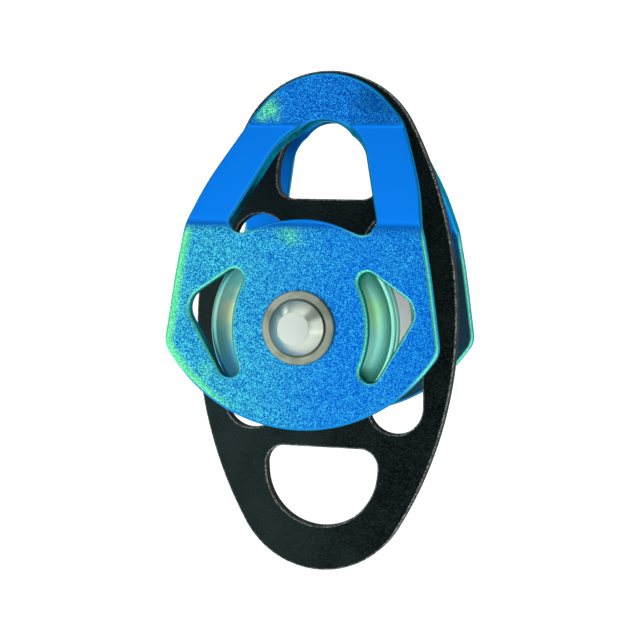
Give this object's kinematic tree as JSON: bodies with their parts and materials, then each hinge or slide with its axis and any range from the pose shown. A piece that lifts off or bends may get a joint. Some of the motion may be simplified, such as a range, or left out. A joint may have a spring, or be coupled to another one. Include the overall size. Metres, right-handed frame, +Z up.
{
  "type": "rope pulley",
  "caption": "Double rope pulley with side-by-side grooved sheaves, swinging side plates, an upper attachment eye and a lower becket eye.",
  "frame": {"origin": "centre of the round top of the attachment eye, midway through the centre plate", "axes": "+Z up through the eye, away from the axle; +Y along the axle, from the front side plate to the rear one; +X to the right seen from the front"},
  "size_m": [0.073, 0.0654, 0.1361],
  "materials": {
    "blue_anodised": "bead-blasted, blue anodised, fine sparkle",
    "black_anodised": "satin black anodised",
    "turned_steel": "turned stainless",
    "bare_aluminium": "turned, satin",
    "bronze": "sintered bronze, dull",
    "bearing_steel": "ground and polished",
    "spring_steel": "phosphated",
    "seal_rubber": "matt",
    "cage_plastic": "moulded"
  },
  "bodies": {
    "frame": {"centre_plate": "black_anodised", "axle": "turned_steel", "axle_collar": "turned_steel", "front_washer": "turned_steel", "rear_washer": "turned_steel", "front_bearing_inner_ring": "bearing_steel", "rear_bearing_inner_ring": "bearing_steel", "front_inboard_spacer": "bearing_steel", "rear_inboard_spacer": "bearing_steel", "front_outboard_spacer": "bearing_steel", "rear_outboard_spacer": "bearing_steel"},
    "front_plate": {"front_side_plate": "blue_anodised", "front_plate_bush": "bronze"},
    "rear_plate": {"rear_side_plate": "blue_anodised", "rear_plate_bush": "bronze"},
    "front_wheel": {"front_sheave": "bare_aluminium", "front_bearing_outer_ring": "bearing_steel", "front_bearing_seals": "seal_rubber", "front_retaining_ring": "spring_steel"},
    "front_ball_set": {"front_bearing_balls": "bearing_steel", "front_bearing_cage": "cage_plastic"},
    "rear_wheel": {"rear_sheave": "bare_aluminium", "rear_bearing_outer_ring": "bearing_steel", "rear_bearing_seals": "seal_rubber", "rear_retaining_ring": "spring_steel"},
    "rear_ball_set": {"rear_bearing_balls": "bearing_steel", "rear_bearing_cage": "cage_plastic"}
  },
  "joints": [
    {"name": "front_plate_swing", "type": "hinge", "parent": "frame", "child": "front_plate", "pos_m": [0, 0, -0.0406], "axis": [0, 1, 0], "continuous": true},
    {"name": "front_sheave_spin", "type": "hinge", "parent": "frame", "child": "front_wheel", "pos_m": [0, 0, -0.0406], "axis": [0, 1, 0], "continuous": true},
    {"name": "front_ball_orbit", "type": "hinge", "parent": "frame", "child": "front_ball_set", "pos_m": [0, 0, -0.0406], "axis": [0, 1, 0], "continuous": true},
    {"name": "rear_plate_swing", "type": "hinge", "parent": "frame", "child": "rear_plate", "pos_m": [0, 0, -0.0406], "axis": [0, 1, 0], "continuous": true},
    {"name": "rear_sheave_spin", "type": "hinge", "parent": "frame", "child": "rear_wheel", "pos_m": [0, 0, -0.0406], "axis": [0, 1, 0], "continuous": true},
    {"name": "rear_ball_orbit", "type": "hinge", "parent": "frame", "child": "rear_ball_set", "pos_m": [0, 0, -0.0406], "axis": [0, 1, 0], "continuous": true}
  ],
  "couplings": [
    {"joint": "front_ball_orbit", "follows": "front_sheave_spin", "ratio": 0.6175},
    {"joint": "rear_ball_orbit", "follows": "rear_sheave_spin", "ratio": 0.6175}
  ]
}
